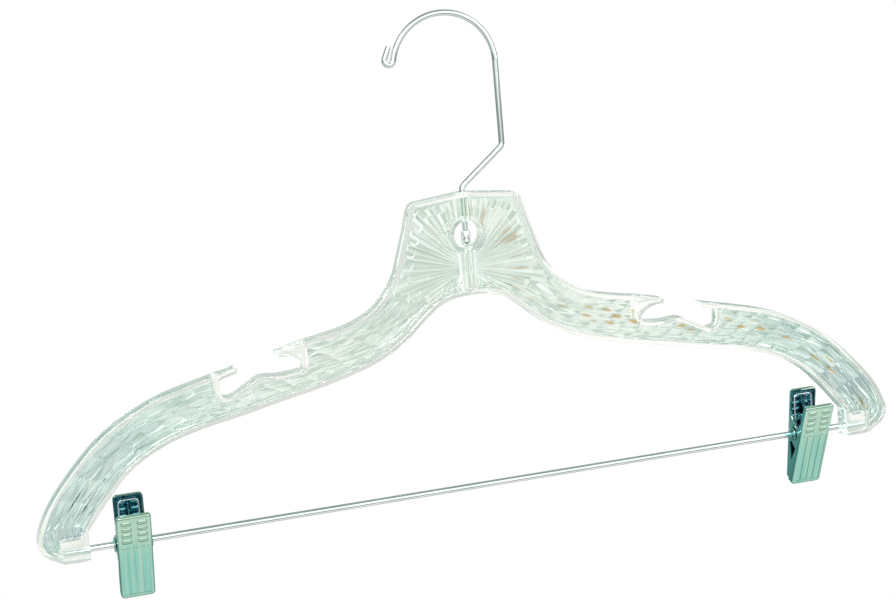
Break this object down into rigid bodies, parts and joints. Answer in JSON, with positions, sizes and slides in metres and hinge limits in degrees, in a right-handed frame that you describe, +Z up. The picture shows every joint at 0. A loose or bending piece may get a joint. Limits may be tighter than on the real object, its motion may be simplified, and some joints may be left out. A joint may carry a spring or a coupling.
{
  "type": "suit hanger",
  "caption": "Clear moulded hanger with a faceted web, strap notches and a swivelling wire hook; a trouser bar carries sliding sprung clips.",
  "frame": {"origin": "seat of the rail, inside the crest of the hook's bend, above the middle of the hanger", "axes": "+Z up, +X along the trouser bar to the right, -Y towards the viewer of the front"},
  "size_m": [0.43, 0.0292, 0.2576],
  "materials": {
    "clear_plastic": "clear, glossy",
    "chrome_wire": "bright",
    "plated_steel": "bright with a blue-green cast",
    "spring_steel": "bright"
  },
  "bodies": {
    "hook": {"hook": "chrome_wire"},
    "frame": {"hanger_body": "clear_plastic", "trouser_bar": "chrome_wire"},
    "left_carriage": {"left_pivot_eyelet": "plated_steel"},
    "left_clip": {"left_rear_jaw": "plated_steel", "left_clip_spring": "spring_steel"},
    "left_jaw": {"left_front_jaw": "plated_steel"},
    "right_carriage": {"right_pivot_eyelet": "plated_steel"},
    "right_clip": {"right_rear_jaw": "plated_steel", "right_clip_spring": "spring_steel"},
    "right_jaw": {"right_front_jaw": "plated_steel"}
  },
  "joints": [
    {"name": "hook_swivel", "type": "hinge", "parent": "hook", "child": "frame", "pos_m": [0, 0, -0.1029], "axis": [0, 0, 1], "continuous": true},
    {"name": "left_slide", "type": "slide", "parent": "frame", "child": "left_carriage", "axis": [1, 0, 0], "range_m": [0, 0.16]},
    {"name": "left_swing", "type": "hinge", "parent": "left_carriage", "child": "left_clip", "pos_m": [-0.172, 0, -0.2262], "axis": [1, 0, 0], "range_deg": [-130, 130]},
    {"name": "left_open", "type": "hinge", "parent": "left_clip", "child": "left_jaw", "pos_m": [-0.172, 0, -0.2262], "axis": [-1, 0, 0], "range_deg": [0, 30], "stiffness_Nm_per_rad": 0.3, "springref_deg": -34.38, "deforming": ["left_clip_spring"]},
    {"name": "right_slide", "type": "slide", "parent": "frame", "child": "right_carriage", "axis": [-1, 0, 0], "range_m": [0, 0.16]},
    {"name": "right_swing", "type": "hinge", "parent": "right_carriage", "child": "right_clip", "pos_m": [0.172, 0, -0.2262], "axis": [1, 0, 0], "range_deg": [-130, 130]},
    {"name": "right_open", "type": "hinge", "parent": "right_clip", "child": "right_jaw", "pos_m": [0.172, 0, -0.2262], "axis": [-1, 0, 0], "range_deg": [0, 30], "stiffness_Nm_per_rad": 0.3, "springref_deg": -34.38, "deforming": ["right_clip_spring"]}
  ]
}
